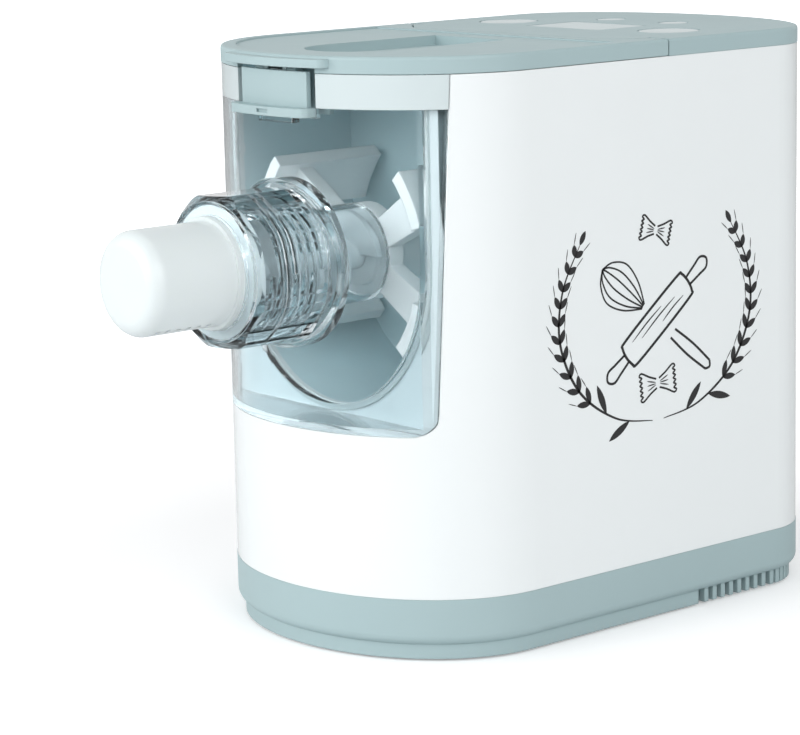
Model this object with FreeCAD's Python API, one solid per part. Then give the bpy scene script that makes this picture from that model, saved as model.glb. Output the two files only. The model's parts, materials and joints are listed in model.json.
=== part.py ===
import FreeCAD
import Part
import math
import os

V = FreeCAD.Vector

# An electric pasta maker, in millimetres. X is the width, -Y is the front
# with the extrusion nozzle, and +Z is up. Shapes are drawn with y = 0 at the
# middle of the straight sides, and save() then moves them so that the
# origin lies under the middle of the whole object.

# Casing: two straight sides closed by half-ellipses at the front and rear
body_width = 202.0
straight_half = 88.7
front_depth = 80.1
rear_depth = 56.6
body_height = 300.0
rim_height = 8.5
casing_bottom = 32.2
plinth_height = 8.5
casing_wall = 3.0
tray_wall = 3.0
rim_wall = 3.2
skirt_wall = 2.0
seat_gap = 0.3
slide_gap = 0.3
running_gap = 0.05

# Cover opening at the front of the casing
cover_corner = 11.0
cover_wall = 3.4
skin_inset = 0.2
frame_thickness = 3.0
seal_thickness = 1.2
seal_width = 2.8

# Mixing chamber, a U-shaped trough around the drive shaft
chamber_wall = 2.4

# Extrusion barrel, die and ring nut
barrel_bore = 22.5
barrel_wall = 2.8
nozzle_radius = 30.0
nut_seat_gap = 1.1
nut_seat_wall = 1.8
thread_depth = 3.0
thread_pitch = 5.0
thread_turns = 6.0
thread_base = 2.4
thread_crest = 1.2
thread_play = 0.45
nut_radius = 39.5
nut_facets = 8
nut_facet_turn = 3.5
nut_corner_round = 1.0
nut_length = 45.5
nut_nose_radius = 35.0
nut_thread_turns = 1.5
die_radius = 26.0
die_wall = 3.0
die_flange_radius = 33.0
die_flange_thickness = 3.5
die_seat_gap = 0.8
flange_play = 0.15
die_collar_radius = 28.0
die_collar_length = 7.0
die_round = 8.0
die_hole_radius = 1.6
die_hole_pitch = 6.0
die_hole_columns = 6
die_hole_rows = 5

# Drive train
shaft_radius = 6.0
seal_outer = 12.0
auger_radius = 22.0
auger_core = 8.5
auger_pitch = 20.0
auger_flight = 3.2
paddle_hub = 17.0
paddle_collar = 25.0
paddle_collar_length = 9.0
paddle_bar = 9.0
paddle_root_width = 15.0
paddle_tip_width = 21.0
paddle_scraper = 7.0
paddle_scraper_sweep = 13.0
paddle_spread = 30.0
gear_width = 12.0
first_module = 1.4
first_wheel_teeth = 72
first_pinion_teeth = 18
second_module = 1.0
second_wheel_teeth = 54
second_pinion_teeth = 18
gear_backlash = 0.35
gearbox_wall = 3.0
gearbox_depth = 32.0
motor_radius = 36.0
motor_length = 80.0
motor_shaft_radius = 3.0
layshaft_radius = 3.0
motor_wall = 2.0
strap_thickness = 1.6
bearing_width = 6.0
bearing_ring = 2.6
fan_radius = 30.0
fan_blades = 7

# Lid, hinge and latch
lid_skin = 3.0
lid_seam_gap = 0.8
lid_seam_y = -15.0
lid_horn_y = 6.5
lid_horn_x = 88.0
lid_horn_turn = -2.5
lid_notch_x = 72.0
lid_dish = 0.9
lid_dish_margin = 8.0
pour_half_width = 28.0
pour_rear = -37.0
pour_depth = 6.0
pour_slot_width = 7.0
pour_slots = 3
hinge_radius = 2.2
hinge_pin_radius = 1.2
pin_inner = 76.0
pin_outer = 95.0
lip_half_width = 39.0
lip_reach = 4.5
lip_thickness = 4.2
lip_low = 2.8
latch_half_width = 26.0
latch_thickness = 2.5
latch_flange_half = 30.0
latch_flange_reach = 6.0
latch_flange_height = 4.5
latch_pin_radius = 1.2
hook_half_width = 12.0
tongue_inset = 11.0
tongue_wall = 2.2
notch_half_width = 31.0

# Controls on the rear top panel
button_radius = 16.0
button_x = 62.0
button_y = 46.0
button_cap = 3.0
button_travel = 1.5
small_button_radius = 8.0
small_button_x = 24.0
small_button_y = 88.0
display_half_width = 28.0
display_half_depth = 18.0
display_thickness = 2.0
board_thickness = 1.6
board_drop = 9.0
stem_length = 3.0

# Base
plinth_inset = 1.8
plinth_rear = 31.0
ground_gap = 1.0
vent_first = 37.0
vent_pitch = 6.3
vent_rib = 3.0
vent_rib_depth = 6.0
foot_radius = 9.0
plate_thickness = 2.5
inlet_half = 14.0
inlet_half_height = 11.0
inlet_z = 62.0
inlet_depth = 22.0
screw_radius = 1.5
screw_head = 3.0

casing_top = body_height - rim_height
front_y = -straight_half - front_depth
rear_y = straight_half + rear_depth
side_x = body_width / 2
cover_seam_low = front_y + 34.6
cover_seam_high = front_y + 41.5
frame_front = front_y + 35.8
chamber_back = front_y + 110.8
barrel_rear = front_y + 52.8
nozzle_seat = front_y + 10.3
nozzle_end = front_y - 31.2
thread_start = front_y + 3.8
nut_rear = front_y + 5.8
die_tip = front_y - 91.2
shaft_front = front_y - 25.2
hub_front = front_y + 50.8
hub_rear = front_y + 106.8
shaft_rear = front_y + 143.8
pour_front = front_y + 29.8
latch_pin_y = front_y + 6.3
hook_rear = front_y + 8.8
foot_front_y = front_y + 72.8
paddle_scraper_front = front_y + 39.8
latch_bottom = casing_top - 21.5
band_bottom = casing_top - 17.0
latch_pin_z = casing_top - 0.5
notch_bottom = latch_bottom - 0.4
shaft_height = casing_top - 95.9
cover_bottom = shaft_height - 81.6
chamber_radius = side_x - 26.0
paddle_reach = chamber_radius - 7.0
foot_x = side_x - 33.0
screw_inset = 20.0
screw_front_y = front_y + 48.8
screw_rear_y = rear_y - 42.3
foot_rear_y = rear_y - 57.3
board_top = casing_top - board_drop
hinge_y = lid_horn_y - hinge_radius
hinge_z = body_height - hinge_radius
nut_seat_radius = nut_radius + nut_seat_gap
parts = {}


def box(x0, x1, y0, y1, z0, z1):
    return Part.makeBox(x1 - x0, y1 - y0, z1 - z0, V(x0, y0, z0))


def disc_x(radius, x0, x1, y, z):
    return Part.makeCylinder(radius, x1 - x0, V(x0, y, z), V(1, 0, 0))


def disc_y(radius, y0, y1, x=0.0, z=shaft_height):
    return Part.makeCylinder(radius, y1 - y0, V(x, y0, z), V(0, 1, 0))


def disc_z(radius, z0, z1, x=0.0, y=0.0):
    return Part.makeCylinder(radius, z1 - z0, V(x, y, z0))


def ring_y(outer, inner, y0, y1, x=0.0, z=shaft_height):
    return disc_y(outer, y0, y1, x, z).cut(disc_y(inner, y0 - 1, y1 + 1, x, z))


def mirrored(shape):
    return shape.mirror(V(0, 0, 0), V(1, 0, 0))


def group(shapes):
    return Part.makeCompound(shapes)


def fused(shapes):
    return shapes[0].fuse(shapes[1:]).removeSplitter()


def plan_wire(inset, z):
    """Outline of the casing in plan, moved inwards by inset."""
    half = body_width / 2 - inset
    front = Part.Ellipse(V(0, -straight_half, z), half, front_depth - inset)
    rear = Part.Ellipse(V(0, straight_half, z), half, rear_depth - inset)
    edges = [
        Part.ArcOfEllipse(front, math.pi, 2 * math.pi).toShape(),
        Part.LineSegment(V(half, -straight_half, z), V(half, straight_half, z)).toShape(),
        Part.ArcOfEllipse(rear, 0, math.pi).toShape(),
        Part.LineSegment(V(-half, straight_half, z), V(-half, -straight_half, z)).toShape(),
    ]
    return Part.Wire(edges)


def plan_prism(inset, z0, z1):
    return Part.Face(plan_wire(inset, z0)).extrude(V(0, 0, z1 - z0))


def plan_ring(inset, wall, z0, z1):
    return plan_prism(inset, z0, z1).cut(plan_prism(inset + wall, z0 - 1, z1 + 1))


def polygon_prism(points, direction):
    wire = Part.makePolygon(points + points[:1])
    return Part.Face(wire).extrude(direction)


def front_edge(x, inset=0.0):
    """The y of the casing's front surface at x."""
    share = x / (body_width / 2 - inset)
    return -straight_half - (front_depth - inset) * math.sqrt(1 - share * share)


def rear_edge(x, inset=0.0):
    """The y of the casing's rear surface at x."""
    share = x / (body_width / 2 - inset)
    return straight_half + (rear_depth - inset) * math.sqrt(1 - share * share)


def helix_ridge(inner, outer, base, crest, pitch, turns, y_start):
    """A helical ridge about the shaft axis, advancing towards the front."""
    depth = 0.4
    helix = Part.makeHelix(pitch, pitch * turns, inner)
    low = inner - depth
    points = [V(low, 0, -base / 2), V(outer, 0, -crest / 2), V(outer, 0, crest / 2), V(low, 0, base / 2)]
    profile = Part.makePolygon(points + points[:1])
    ridge = Part.Wire(helix.Edges).makePipeShell([profile], True, True)
    ridge.rotate(V(0, 0, 0), V(1, 0, 0), 90)
    ridge.translate(V(0, y_start, shaft_height))
    return ridge


def involute(angle):
    return math.tan(angle) - angle


def gear(teeth, module, y0, y1, z, bore, first_tooth):
    """Spur gear about an axis along Y; first_tooth is a tooth's direction in degrees."""
    pressure = math.radians(20)
    pitch_radius = module * teeth / 2
    base_radius = pitch_radius * math.cos(pressure)
    tip_radius = pitch_radius + 0.95 * module
    root_radius = pitch_radius - 1.25 * module
    half_tooth = math.pi / (2 * teeth) - gear_backlash / (4 * pitch_radius)
    start = max(base_radius, root_radius)
    flank = []
    for step in range(5):
        radius = start + (tip_radius - start) * step / 4
        angle = half_tooth + involute(pressure) - involute(math.acos(min(1, base_radius / radius)))
        flank.append((radius, angle))
    side = [(root_radius, flank[0][1])] + flank
    points = []
    for tooth in range(teeth):
        middle = math.radians(first_tooth) + 2 * math.pi * tooth / teeth
        outline = [(r, middle - a) for r, a in side] + [(r, middle + a) for r, a in reversed(side)]
        points += [V(r * math.cos(a), y0, z + r * math.sin(a)) for r, a in outline]
    body = polygon_prism(points, V(0, y1 - y0, 0))
    return body.cut(disc_y(bore, y0 - 1, y1 + 1, 0, z))


def save(name, shape):
    parts[name] = shape


# Cover opening, seen from the side: everything in front of a leaning seam
def cover_region(gap, bottom_gap):
    low = cover_seam_low - gap
    high = cover_seam_high - gap
    bottom = cover_bottom + bottom_gap
    lean = (high - low) / (casing_top - cover_bottom)
    top = body_height + 20
    reach = -straight_half - front_depth - 40
    side = [V(-150, reach, bottom), V(-150, low, bottom), V(-150, low + lean * (top - bottom), top), V(-150, reach, top)]
    region = polygon_prism(side, V(300, 0, 0))
    corner = cover_corner - gap
    half = half_width_at(cover_seam_low) - gap
    for sign in (-1, 1):
        x0, x1 = sorted((sign * (half - corner), sign * 150))
        block = box(x0, x1, reach - 1, 0, bottom - 1, bottom + corner)
        block = block.cut(disc_y(corner, reach - 2, 1, sign * (half - corner), bottom + corner))
        region = region.cut(block)
    return region


def half_width_at(y, inset=0.0):
    """Half the casing's width at a y in its front curve."""
    share = (-straight_half - y) / (front_depth - inset)
    return (body_width / 2 - inset) * math.sqrt(1 - share * share)


def make_casing():
    shell = plan_ring(skin_inset, casing_wall - skin_inset, casing_bottom, casing_top - seat_gap)
    shell = shell.cut(cover_region(0, 0))
    inlet_y = rear_edge(0)
    shell = shell.cut(box(-inlet_half - slide_gap, inlet_half + slide_gap, inlet_y - 20, inlet_y + 5,
                          inlet_z - inlet_half_height - slide_gap, inlet_z + inlet_half_height + slide_gap))
    save("outer_casing", shell)


# Power inlet at the rear, low down
def make_inlet():
    y1 = rear_edge(inlet_half) - 0.2
    body = box(-inlet_half, inlet_half, y1 - inlet_depth, y1, inlet_z - inlet_half_height, inlet_z + inlet_half_height)
    edges = [e for e in body.Edges if abs(e.Vertexes[0].Y - e.Vertexes[1].Y) > 1]
    body = body.makeFillet(3.0, edges)
    socket = box(-inlet_half + 3, inlet_half - 3, y1 - inlet_depth + 5, y1 + 1,
                 inlet_z - inlet_half_height + 3, inlet_z + inlet_half_height - 3)
    flange = box(-inlet_half - 4, inlet_half + 4, y1 - inlet_depth + 4, y1 - inlet_depth + 7,
                 inlet_z - inlet_half_height - 6, inlet_z + inlet_half_height + 4)
    body = body.fuse(flange).cut(socket)
    save("power_inlet", body.removeSplitter())
    pins = []
    for x, z in ((-6, -2), (6, -2), (0, 3)):
        pins.append(box(x - 1, x + 1, y1 - inlet_depth + 5, y1 - 6, inlet_z + z - 2, inlet_z + z + 2))
    save("inlet_pins", group(pins))
    base = box(-inlet_half - 4, inlet_half + 4, y1 - inlet_depth - 4, y1 - inlet_depth + 4 - seat_gap,
               plinth_height + tray_wall, inlet_z - inlet_half_height)
    save("inlet_bracket", base)


# Base tray: grey band, floor, plinth and the vent ribs at the rear
def make_base():
    floor_z = plinth_height
    band = plan_prism(0, floor_z, casing_bottom)
    bottom_edges = [e for e in band.Edges if e.BoundBox.ZMax < floor_z + 0.01]
    band = band.makeFillet(5.0, bottom_edges)
    band = band.cut(plan_prism(tray_wall, floor_z + tray_wall, casing_bottom + 1))
    lip = plan_ring(casing_wall + slide_gap, 2.0, casing_bottom - 4, casing_bottom + 6)
    lip = lip.fuse(plan_ring(tray_wall - 1, 3.3, casing_bottom - 4, casing_bottom))
    plinth = plan_ring(plinth_inset + 2, tray_wall, ground_gap, floor_z + 1)
    plinth = plinth.cut(box(-150, 150, plinth_rear, 300, -1, floor_z + 2))
    plinth = plinth.fuse(box(-body_width / 2 + 8, body_width / 2 - 8, plinth_rear - tray_wall, plinth_rear,
                             ground_gap, floor_z + 1))
    tray = fused([band, lip, plinth])
    ribs = []
    for angle_step in range(60):
        place = vent_place(angle_step * vent_pitch)
        if place is None:
            break
        ribs.append(place)
    ribs += [mirrored(rib) for rib in ribs]
    tray = tray.fuse(ribs)
    for x, y in screw_places():
        tray = tray.cut(disc_z(screw_radius + running_gap, 0, floor_z + 5, x, y))
    vents = []
    for step in range(9):
        x = -40 + 10 * step
        vents.append(box(x - 2.5, x + 2.5, 50, 110, floor_z - 1, floor_z + tray_wall + 1))
    tray = tray.cut(vents[0].fuse(vents[1:]))
    save("base_tray", tray.removeSplitter())


def vent_place(distance):
    """A vertical rib on the rear outline at a distance from the first one."""
    inset = plinth_inset + 2
    straight_left = straight_half - vent_first
    if distance <= straight_left:
        x, y, turn = body_width / 2 - inset, vent_first + distance, 0.0
    else:
        angle = (distance - straight_left) / (0.5 * (body_width / 2 + rear_depth))
        if angle > math.pi / 2 - 0.03:
            return None
        a = body_width / 2 - inset
        b = rear_depth - inset
        x, y = a * math.cos(angle), straight_half + b * math.sin(angle)
        turn = math.degrees(math.atan2(a * math.sin(angle), b * math.cos(angle)))
    rib = box(-vent_rib_depth, 0, -vent_rib / 2, vent_rib / 2, ground_gap, plinth_height + 1.5)
    rib.rotate(V(0, 0, 0), V(0, 0, 1), turn)
    rib.translate(V(x, y, 0))
    return rib


def screw_places():
    x = half_width_at(screw_front_y) - screw_inset
    return [(x, screw_front_y), (-x, screw_front_y), (x, screw_rear_y), (-x, screw_rear_y)]


def foot_places():
    return [(x, y) for x in (-foot_x, foot_x) for y in (foot_front_y, foot_rear_y)]


def make_bottom():
    top = plinth_height - seat_gap / 3
    low = top - plate_thickness
    plate = plan_prism(plinth_inset + 2 + tray_wall + 3.5, low, top)
    plate = plate.cut(box(-body_width, body_width, plinth_rear - tray_wall - slide_gap,
                          plinth_rear + slide_gap, low - 1, top + 1))
    front = plate.common(box(-150, 150, -300, plinth_rear - tray_wall - slide_gap, low - 1, top + 1))
    rear = plate.common(box(-150, 150, plinth_rear + slide_gap, 300, low - 1, top + 1))
    holes = [disc_z(3.0 + running_gap, low - 1, top + 1, x, y) for x, y in foot_places()]
    holes += [disc_z(screw_radius + running_gap, low - 1, top + 1, x, y) for x, y in screw_places()]
    holes += [box(-42.5 + 10 * s, -37.5 + 10 * s, 55, 105, low - 1, top + 1) for s in range(9)]
    cutter = holes[0].fuse(holes[1:])
    save("bottom_plate", front.cut(cutter))
    save("vent_plate", rear.cut(cutter))
    feet = []
    for x, y in foot_places():
        pad = disc_z(foot_radius, 0, low, x, y)
        stud = disc_z(3.0, low - 0.5, top, x, y)
        feet.append(pad.fuse(stud).removeSplitter())
    save("rubber_feet", group(feet))
    screws = []
    for x, y in screw_places():
        head = disc_z(screw_head, low - 2, low, x, y)
        shank = disc_z(screw_radius, low - 1, plinth_height + tray_wall, x, y)
        screws.append(head.fuse(shank).removeSplitter())
    save("base_screws", group(screws))


# Mixing chamber, its front frame and the seal that the cover closes on
def u_prism(radius, y0, y1, top):
    lower = disc_y(radius, y0, y1)
    upper = box(-radius, radius, y0, y1, shaft_height, top)
    return lower.fuse(upper).removeSplitter()


def make_chamber():
    frame_rear = frame_front + frame_thickness
    deck_top = casing_top - seat_gap
    deck_low = deck_top - 3.0
    inner = u_prism(chamber_radius, frame_rear - 1, chamber_back, deck_top + 1)
    outer = u_prism(chamber_radius + chamber_wall, frame_rear, chamber_back + chamber_wall, deck_top)
    deck = plan_prism(casing_wall + slide_gap, deck_low, deck_top)
    deck = deck.common(box(-150, 150, frame_rear, lid_seam_y, deck_low - 1, deck_top + 1))
    chamber = outer.fuse(deck).cut(inner)
    chamber = chamber.cut(disc_y(seal_outer + running_gap, chamber_back - 1, chamber_back + chamber_wall + 1))
    save("mixing_chamber", chamber.removeSplitter())

    inset = cover_wall + slide_gap + 0.3
    frame = plan_prism(inset, cover_bottom - 8, deck_top)
    frame = frame.common(box(-150, 150, frame_front, frame_rear, 0, body_height))
    frame = frame.cut(u_prism(chamber_radius, frame_front - 1, frame_rear + 1, deck_top + 1))
    shelf_top = cover_bottom - seat_gap
    shelf = plan_prism(casing_wall + slide_gap, shelf_top - 3, shelf_top)
    shelf = shelf.common(box(-150, 150, -300, frame_rear, 0, body_height))
    save("chamber_frame", frame.fuse(shelf).removeSplitter())

    seal_front = frame_front - seal_thickness
    outer_u = u_prism(chamber_radius + 0.4 + seal_width, seal_front, frame_front, deck_top - 2)
    inner_u = u_prism(chamber_radius + 0.4, seal_front - 1, frame_front + 1, deck_top)
    save("chamber_seal", outer_u.cut(inner_u).removeSplitter())


# Front cover: transparent shell, seat for the nut, barrel and thread
def nozzle_thread():
    return helix_ridge(nozzle_radius, nozzle_radius + thread_depth, thread_base, thread_crest,
                       thread_pitch, thread_turns, thread_start)


def make_cover():
    top = casing_top - seat_gap
    gap = 0.5
    region = cover_region(gap, seat_gap)
    shell = plan_ring(skin_inset, cover_wall - skin_inset, cover_bottom, top).common(region)
    floor = plan_prism(0.5, cover_bottom + seat_gap, cover_bottom + seat_gap + cover_wall)
    rear = frame_front - seal_thickness - 0.3
    floor = floor.common(region).common(box(-150, 150, -300, rear, 0, 400))
    back = plan_prism(0.5, cover_bottom + seat_gap, top)
    back = back.common(box(-150, 150, rear - cover_wall, rear, 0, 400)).common(region)
    back = back.cut(u_prism(chamber_radius, rear - cover_wall - 1, rear + 1, top + 1))
    pocket_outer = nut_seat_radius + nut_seat_wall
    pocket_floor = disc_y(pocket_outer, nozzle_seat, nozzle_seat + cover_wall)
    pocket_wall = ring_y(pocket_outer, nut_seat_radius, -200, nozzle_seat)
    pocket_wall = pocket_wall.common(plan_prism(skin_inset, cover_bottom, top))
    pocket = disc_y(nut_seat_radius, -200, nozzle_seat)
    barrel = disc_y(barrel_bore + barrel_wall, nozzle_seat, barrel_rear)
    nozzle = disc_y(nozzle_radius, nozzle_end, nozzle_seat + 1)
    cover = shell.cut(pocket).fuse([floor, back, pocket_floor, pocket_wall, barrel, nozzle])
    ledge = box(-hook_half_width - 1, hook_half_width + 1, front_edge(hook_half_width) + 1.0, hook_rear,
                notch_bottom - cover_wall, notch_bottom)
    cover = cover.fuse([nozzle_thread(), ledge])
    cover = cover.cut(disc_y(barrel_bore, nozzle_end - 1, barrel_rear + 1))
    cover = cover.cut(box(-notch_half_width, notch_half_width, -300, chamber_back, notch_bottom, body_height))
    band_zone = box(-150, 150, -300, 0, band_bottom, body_height)
    band_skin = plan_ring(0, cover_wall, band_bottom, top + 1)
    cover = cover.cut(band_zone.common(band_skin))
    save("front_cover", cover.removeSplitter())

    band = plan_ring(skin_inset, cover_wall - skin_inset - 0.1, band_bottom, top).common(region)
    band = band.cut(back.fuse(back.translated(V(0, 0.1, 0))))
    band = band.cut(box(-notch_half_width, notch_half_width, -300, 0, 0, body_height))
    save("cover_top_band", group(band.Solids))


# Die and ring nut
def make_die():
    flange_rear = nozzle_end - die_seat_gap
    flange_front = flange_rear - die_flange_thickness
    body = disc_y(die_radius, die_tip, flange_rear)
    front_edges = [e for e in body.Edges if e.BoundBox.YMax < die_tip + 0.01]
    body = body.makeFillet(die_round, front_edges)
    flange = disc_y(die_flange_radius, flange_front, flange_rear)
    collar = disc_y(die_collar_radius, flange_front - die_collar_length, flange_front + 0.5)
    body = fused([body, flange, collar])
    body = body.cut(disc_y(die_radius - die_wall, die_tip + 10, flange_rear + 1))
    first = die_tip + die_round + 2
    holes = []
    for column in range(die_hole_columns):
        for row in range(die_hole_rows):
            x = (row - (die_hole_rows - 1) / 2) * die_hole_pitch
            holes.append(disc_z(die_hole_radius, shaft_height - die_radius - 2, shaft_height - die_radius + 12,
                                x, first + column * die_hole_pitch))
    body = body.cut(holes[0].fuse(holes[1:]))
    save("pasta_die", body)
    seal = ring_y(die_flange_radius - 4, die_radius - die_wall + 0.5, flange_rear, nozzle_end - 0.1)
    save("die_seal", seal)


def make_nut():
    front = nut_rear - nut_length
    corners = []
    corner_radius = nut_radius + nut_corner_round
    for side in range(nut_facets):
        angle = 2 * math.pi * (side + 0.5) / nut_facets + math.radians(nut_facet_turn)
        corners.append(V(corner_radius * math.cos(angle), front, shaft_height + corner_radius * math.sin(angle)))
    blank = disc_y(nut_radius, front, nut_rear)
    front_edges = [e for e in blank.Edges if e.BoundBox.YMax < front + 0.01]
    blank = blank.makeChamfer(nut_radius - nut_nose_radius, front_edges)
    body = polygon_prism(corners, V(0, nut_length, 0)).common(blank)
    flange_front = nozzle_end - die_seat_gap - die_flange_thickness
    bore = nozzle_radius + thread_depth + thread_play
    body = body.cut(disc_y(bore, flange_front - flange_play, nut_rear + 1))
    body = body.cut(disc_y(die_collar_radius + thread_play, front - 1, nut_rear + 1))
    inner = nozzle_radius + thread_play
    room = thread_pitch - thread_base - 2 * thread_play
    start = thread_start - thread_pitch * (thread_turns - nut_thread_turns - 1.0)
    ridge = nut_ridge(inner, bore + 0.4, room * 0.55, room + 0.5, start)
    save("ring_nut", body.fuse(ridge).removeSplitter())


def nut_ridge(inner, outer, crest, base, y_start):
    """The nut's own thread, pointing inwards between the nozzle's turns."""
    helix = Part.makeHelix(thread_pitch, thread_pitch * nut_thread_turns, outer)
    points = [V(inner, 0, -crest / 2), V(outer, 0, -base / 2), V(outer, 0, base / 2), V(inner, 0, crest / 2)]
    profile = Part.makePolygon(points + points[:1])
    ridge = Part.Wire(helix.Edges).makePipeShell([profile], True, True)
    ridge.rotate(V(0, 0, 0), V(1, 0, 0), 90)
    ridge.translate(V(0, y_start, shaft_height))
    return ridge


# Shaft, auger and paddle
def paddle_arm(front, turn):
    """One broad arm that widens outwards and ends in a scraper along the chamber wall."""
    inner = paddle_hub - 3
    outer = paddle_reach - 2
    root = paddle_root_width / 2
    tip = paddle_tip_width / 2
    outline = [
        V(inner, front, shaft_height - root),
        V(outer, front, shaft_height - tip),
        V(outer, front, shaft_height + tip),
        V(inner, front, shaft_height + root),
    ]
    arm = polygon_prism(outline, V(0, paddle_bar, 0)).common(disc_y(paddle_reach, front - 1, front + paddle_bar + 1))
    reach = 2 * paddle_reach
    spread = reach * math.tan(math.radians(paddle_scraper_sweep))
    wedge = polygon_prism([
        V(0, paddle_scraper_front, shaft_height),
        V(reach, paddle_scraper_front, shaft_height - spread),
        V(reach, paddle_scraper_front, shaft_height + spread),
    ], V(0, hub_rear - paddle_scraper_front, 0))
    scraper = ring_y(paddle_reach, paddle_reach - paddle_scraper, paddle_scraper_front, hub_rear).common(wedge)
    piece = arm.fuse(scraper)
    piece.rotate(V(0, 0, shaft_height), V(0, 1, 0), -turn)
    return piece


def make_shaft():
    shaft = disc_y(shaft_radius, shaft_front, shaft_rear)
    flat = box(-20, 20, shaft_front - 1, hub_rear, shaft_height + shaft_radius - 1.0, shaft_height + 20)
    save("drive_shaft", shaft.cut(flat))

    bore = disc_y(shaft_radius + running_gap, -400, 0)
    key = box(-20, 20, -400, 0, shaft_height + shaft_radius - 1.0 + running_gap, shaft_height + 20)
    bore = bore.cut(key)
    front = nozzle_end + 3
    core = disc_y(auger_core, front, hub_front - seat_gap)
    length = hub_front - seat_gap - front - auger_flight
    turns = length / auger_pitch
    flight = helix_ridge(auger_core, auger_radius, auger_flight, auger_flight, auger_pitch, turns,
                         hub_front - seat_gap - auger_flight / 2)
    auger = core.fuse(flight).cut(bore)
    save("extrusion_auger", auger.removeSplitter())

    collar_front = barrel_rear + 1.0
    collar_rear = collar_front + paddle_collar_length
    pieces = [disc_y(paddle_hub, hub_front, hub_rear), disc_y(paddle_collar, collar_front, collar_rear)]
    for turn in (paddle_spread, 180 - paddle_spread, 180 + paddle_spread, -paddle_spread):
        pieces.append(paddle_arm(collar_rear - paddle_bar, turn))
    save("mixing_paddle", fused(pieces).cut(bore))


# Gearbox behind the chamber, with the motor below the shaft
box_front = chamber_back + chamber_wall
box_rear = box_front + gearbox_depth + gearbox_wall
first_centre = first_module * (first_wheel_teeth + first_pinion_teeth) / 2
second_centre = second_module * (second_wheel_teeth + second_pinion_teeth) / 2
layshaft_height = shaft_height - first_centre
motor_height = layshaft_height - second_centre
first_y = box_front + gearbox_wall + 4.0
second_y = first_y + gear_width + 1.5
second_width = 8.0


def pear(clearance, y0, y1):
    """Gearbox outline around its three axes."""
    wheel = first_module * first_wheel_teeth / 2 + clearance
    lower = second_module * second_wheel_teeth / 2 + clearance
    small = second_module * second_pinion_teeth / 2 + clearance + 3
    pieces = [
        disc_y(wheel, y0, y1),
        disc_y(lower, y0, y1, 0, layshaft_height),
        disc_y(small, y0, y1, 0, motor_height),
        box(-lower, lower, y0, y1, layshaft_height, shaft_height),
        box(-small, small, y0, y1, motor_height, layshaft_height),
    ]
    return fused(pieces)


def make_gearbox():
    room = 4.0
    outer = pear(room + gearbox_wall, box_front, box_rear)
    inner = pear(room, box_front + gearbox_wall, box_rear + 1)
    inset_seal = disc_y(seal_outer + running_gap, box_front - 1, box_front + gearbox_wall + 1)
    bearing_outer = shaft_radius + running_gap + bearing_ring
    boss = disc_y(bearing_outer + 3, box_front, box_front + gearbox_wall + 3.6)
    housing = outer.cut(inner).fuse(boss)
    housing = housing.cut(disc_y(bearing_outer + running_gap, box_front - 1, box_front + gearbox_wall + 4))
    housing = housing.cut(disc_y(seal_outer + running_gap, box_front - 1, box_front + 0.6))
    axle_seat = disc_y(6.0, box_front + 1, box_front + gearbox_wall + 3.6, 0, layshaft_height)
    housing = housing.fuse(axle_seat)
    housing = housing.cut(disc_y(layshaft_radius + running_gap, box_front + 1.5, box_front + 10, 0, layshaft_height))
    save("gearbox_housing", housing.removeSplitter())

    cover = pear(room + gearbox_wall, box_rear, box_rear + gearbox_wall)
    boss = disc_y(bearing_outer + 3, box_rear - 6.0, box_rear + 1)
    axle_seat = disc_y(6.0, second_y + second_width + 0.8, box_rear + 1, 0, layshaft_height)
    cover = fused([cover, boss, axle_seat])
    cover = cover.cut(disc_y(bearing_outer + running_gap, box_rear - 7, box_rear + 1))
    cover = cover.cut(disc_y(layshaft_radius + running_gap, box_rear - 10, box_rear + 1.5, 0, layshaft_height))
    cover = cover.cut(disc_y(motor_shaft_radius + 2, box_rear - 1, box_rear + 10, 0, motor_height))
    save("gearbox_cover", cover.removeSplitter())

    bearing = ring_y(bearing_outer, shaft_radius + running_gap, box_front + 0.6, box_front + 0.6 + bearing_width)
    rear = ring_y(bearing_outer, shaft_radius + running_gap, box_rear - 6.0, box_rear + 1)
    save("shaft_bearings", group([bearing, rear]))
    seal = ring_y(seal_outer, shaft_radius + running_gap, chamber_back, box_front + 0.5)
    save("shaft_seal", seal)


def make_gears():
    wheel = gear(first_wheel_teeth, first_module, first_y, first_y + gear_width, shaft_height,
                 shaft_radius + running_gap / 2, -90.0)
    save("output_gear", wheel)
    half_pitch = 180.0 / first_pinion_teeth
    pinion = gear(first_pinion_teeth, first_module, first_y, first_y + gear_width, layshaft_height,
                  layshaft_radius + running_gap, 90.0 + half_pitch)
    second = gear(second_wheel_teeth, second_module, second_y, second_y + second_width, layshaft_height,
                  layshaft_radius + running_gap, -90.0)
    neck = ring_y(7.0, layshaft_radius + running_gap, first_y + gear_width - 0.5, second_y + 0.5, 0, layshaft_height)
    save("layshaft_gear", fused([pinion, second, neck]))
    axle = disc_y(layshaft_radius, box_front + 1.6, box_rear + 1.4, 0, layshaft_height)
    save("layshaft_axle", axle)
    half_pitch = 180.0 / second_pinion_teeth
    motor_pinion = gear(second_pinion_teeth, second_module, second_y - 0.5, second_y + second_width + 0.5,
                        motor_height, motor_shaft_radius + running_gap / 2, 90.0 + half_pitch)
    save("motor_pinion", motor_pinion)


motor_front = box_rear + gearbox_wall
motor_rear = motor_front + motor_length


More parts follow.
